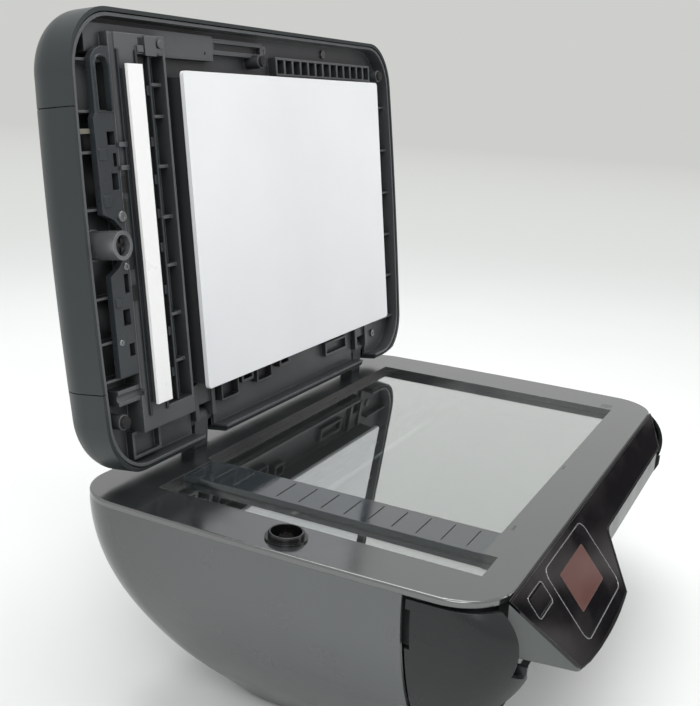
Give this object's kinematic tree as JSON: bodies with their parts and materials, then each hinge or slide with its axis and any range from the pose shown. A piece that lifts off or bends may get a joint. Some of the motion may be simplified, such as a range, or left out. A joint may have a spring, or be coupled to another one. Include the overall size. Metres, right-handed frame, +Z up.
{
  "type": "inkjet multifunction printer",
  "caption": "Desktop inkjet printer, scanner and copier with a hinged scanner lid standing open, a page feeder in the lid, a sloping front control panel and a paper tray underneath.",
  "frame": {"origin": "on the floor under the middle of the printer's whole box with the lid open", "axes": "+X to the printer's right, +Y to its back, +Z up"},
  "size_m": [0.447, 0.3687, 0.458],
  "materials": {
    "body": "satin dark grey",
    "bed": "satin mid grey",
    "lid": "matte charcoal",
    "frame_black": "near-black moulding",
    "gloss": "gloss black",
    "ring": "shiny grey",
    "divider": "translucent grey",
    "pad": "white foam sheet",
    "strip": "bright white",
    "glass": "clear glass",
    "screen": "dark reddish display",
    "rubber": "soft black rubber",
    "steel": "plain steel",
    "gears": "pale moulded plastic",
    "inks": "black cartridges",
    "board": "green circuit board",
    "power": "black power unit"
  },
  "bodies": {
    "base": {"rubber_feet": "rubber", "base_pan": "frame_black", "body_casing": "body", "print_frame": "steel", "platen": "frame_black", "paper_drive_belt": "rubber", "guide_rods": "steel", "print_motors": "steel", "carriage_belt": "rubber", "service_station": "frame_black", "main_board": "board", "power_supply": "power", "scanner_bezel": "bed", "glass_divider": "divider", "platen_glass": "glass", "adf_glass": "glass", "scanner_tub": "frame_black", "scan_belt": "rubber", "scanner_motors": "steel", "drive_cup": "gloss", "panel_fascia": "gloss", "panel_housing": "body", "display": "screen", "hinge_posts": "frame_black"},
    "door": {"access_door": "body"},
    "feed_rollers": {"feed_shaft": "gears", "feed_tyres": "rubber"},
    "pinion": {"motor_pinion": "gears"},
    "exit_rollers": {"exit_roller": "gears"},
    "stars": {"star_wheels": "gears"},
    "pickup": {"pickup_roller": "rubber"},
    "carriage": {"print_carriage": "frame_black", "ink_cartridges": "inks"},
    "belt_wheel": {"carriage_pulley": "gears"},
    "tray": {"paper_tray": "body"},
    "left_guide": {"left_paper_guide": "frame_black"},
    "right_guide": {"right_paper_guide": "frame_black"},
    "tray_pinion": {"guide_pinion": "gears"},
    "extender": {"output_extender": "body"},
    "scanner": {"scan_carriage": "frame_black"},
    "scan_wheel": {"scan_pulley": "gears"},
    "lower_coupler": {"base_coupler": "gears"},
    "feeder_drive": {"drive_gear": "gears"},
    "button": {"power_button": "gloss"},
    "lid": {"lid_shell": "lid", "lid_frame": "frame_black", "document_pad": "pad", "adf_backing_strip": "strip", "coupler_sleeve": "ring", "lid_bumpers": "rubber", "lid_screws": "steel", "lid_hinges": "frame_black"},
    "cover": {"adf_cover": "lid"},
    "input_tray": {"adf_input_tray": "lid"},
    "lower_guide": {"lower_adf_guide": "lid"},
    "upper_guide": {"upper_adf_guide": "lid"},
    "feeder_pinion": {"adf_guide_pinion": "gears"},
    "feed_turner": {"adf_feed_roller": "rubber"},
    "pick_turner": {"adf_pick_roller": "rubber"},
    "upper_coupler": {"lid_coupler": "gears"}
  },
  "joints": [
    {"name": "lid_hinge", "type": "hinge", "parent": "base", "child": "lid", "pos_m": [0, 0.1312, 0.1816], "axis": [1, 0, 0], "range_deg": [0, 97.3]},
    {"name": "cover_hinge", "type": "hinge", "parent": "lid", "child": "cover", "pos_m": [-0.114, 0.14945, 0.17926], "axis": [0, -0.1271, -0.9919], "range_deg": [0, 80]},
    {"name": "input_tray_hinge", "type": "hinge", "parent": "lid", "child": "input_tray", "pos_m": [-0.1, 0.14533, 0.17979], "axis": [0, 0.1271, 0.9919], "range_deg": [0, 50]},
    {"name": "lower_guide_slide", "type": "slide", "parent": "input_tray", "child": "lower_guide", "axis": [0, 0.1271, 0.9919], "range_m": [0, 0.04]},
    {"name": "upper_guide_slide", "type": "slide", "parent": "input_tray", "child": "upper_guide", "axis": [0, -0.1271, -0.9919], "range_m": [0, 0.04]},
    {"name": "feeder_pinion_spin", "type": "hinge", "parent": "input_tray", "child": "feeder_pinion", "pos_m": [-0.02, 0.16351, 0.31104], "axis": [0, 0.9919, -0.1271], "continuous": true},
    {"name": "feed_turner_spin", "type": "hinge", "parent": "lid", "child": "feed_turner", "pos_m": [-0.15, 0.13914, 0.18058], "axis": [0, 0.1271, 0.9919], "continuous": true},
    {"name": "pick_turner_spin", "type": "hinge", "parent": "lid", "child": "pick_turner", "pos_m": [-0.131, 0.13914, 0.18058], "axis": [0, 0.1271, 0.9919], "continuous": true},
    {"name": "upper_coupler_spin", "type": "hinge", "parent": "lid", "child": "upper_coupler", "pos_m": [-0.2035, 0.14838, 0.3157], "axis": [0, -0.9919, 0.1271], "continuous": true},
    {"name": "lower_coupler_spin", "type": "hinge", "parent": "base", "child": "lower_coupler", "pos_m": [-0.2035, -0.004, 0.15], "axis": [0, 0, 1], "continuous": true},
    {"name": "feeder_drive_spin", "type": "hinge", "parent": "base", "child": "feeder_drive", "pos_m": [-0.1914, -0.004, 0.14], "axis": [0, 0, 1], "continuous": true},
    {"name": "scan_slide", "type": "slide", "parent": "base", "child": "scanner", "axis": [1, 0, 0], "range_m": [0, 0.332]},
    {"name": "scan_wheel_spin", "type": "hinge", "parent": "base", "child": "scan_wheel", "pos_m": [-0.192, 0.062, 0.127], "axis": [0, 0, 1], "continuous": true},
    {"name": "button_press", "type": "slide", "parent": "base", "child": "button", "axis": [0, 0.766, -0.6428], "range_m": [0, 0.0008], "stiffness_N_per_m": 400},
    {"name": "door_hinge", "type": "hinge", "parent": "base", "child": "door", "pos_m": [0, -0.104, 0.04], "axis": [1, 0, 0], "range_deg": [0, 60]},
    {"name": "feed_spin", "type": "hinge", "parent": "base", "child": "feed_rollers", "pos_m": [0, 0.05, 0.038], "axis": [1, 0, 0], "continuous": true},
    {"name": "pinion_spin", "type": "hinge", "parent": "base", "child": "pinion", "pos_m": [0, 0.05955, 0.05454], "axis": [1, 0, 0], "continuous": true},
    {"name": "exit_spin", "type": "hinge", "parent": "base", "child": "exit_rollers", "pos_m": [0, -0.066, 0.047], "axis": [1, 0, 0], "continuous": true},
    {"name": "star_spin", "type": "hinge", "parent": "base", "child": "stars", "pos_m": [0, -0.066, 0.0602], "axis": [1, 0, 0], "continuous": true},
    {"name": "pickup_spin", "type": "hinge", "parent": "base", "child": "pickup", "pos_m": [0, 0, 0.032], "axis": [1, 0, 0], "continuous": true},
    {"name": "carriage_slide", "type": "slide", "parent": "base", "child": "carriage", "axis": [-1, 0, 0], "range_m": [0, 0.27]},
    {"name": "belt_wheel_spin", "type": "hinge", "parent": "base", "child": "belt_wheel", "pos_m": [-0.15, 0.042, 0.092], "axis": [0, 0, 1], "continuous": true},
    {"name": "tray_slide", "type": "slide", "parent": "base", "child": "tray", "axis": [0, -1, 0], "range_m": [0, 0.11]},
    {"name": "left_guide_slide", "type": "slide", "parent": "tray", "child": "left_guide", "axis": [1, 0, 0], "range_m": [0, 0.03]},
    {"name": "right_guide_slide", "type": "slide", "parent": "tray", "child": "right_guide", "axis": [-1, 0, 0], "range_m": [0, 0.03]},
    {"name": "tray_pinion_spin", "type": "hinge", "parent": "tray", "child": "tray_pinion", "pos_m": [0, 0, 0.0121], "axis": [0, 0, 1], "continuous": true},
    {"name": "extender_slide", "type": "slide", "parent": "base", "child": "extender", "axis": [0, -1, 0], "range_m": [0, 0.07]}
  ],
  "couplings": [
    {"joint": "upper_guide_slide", "follows": "lower_guide_slide", "ratio": 1},
    {"joint": "feeder_pinion_spin", "follows": "lower_guide_slide", "rad_per_m": -125},
    {"joint": "feed_turner_spin", "follows": "upper_coupler_spin", "ratio": 1},
    {"joint": "pick_turner_spin", "follows": "upper_coupler_spin", "ratio": 0.875},
    {"joint": "feeder_drive_spin", "follows": "lower_coupler_spin", "ratio": -0.5},
    {"joint": "scan_wheel_spin", "follows": "scan_slide", "rad_per_m": 166.67},
    {"joint": "pinion_spin", "follows": "feed_spin", "ratio": -2.8},
    {"joint": "exit_spin", "follows": "feed_spin", "ratio": 2.2857},
    {"joint": "belt_wheel_spin", "follows": "carriage_slide", "rad_per_m": -166.67},
    {"joint": "right_guide_slide", "follows": "left_guide_slide", "ratio": 1},
    {"joint": "tray_pinion_spin", "follows": "left_guide_slide", "rad_per_m": -125}
  ]
}
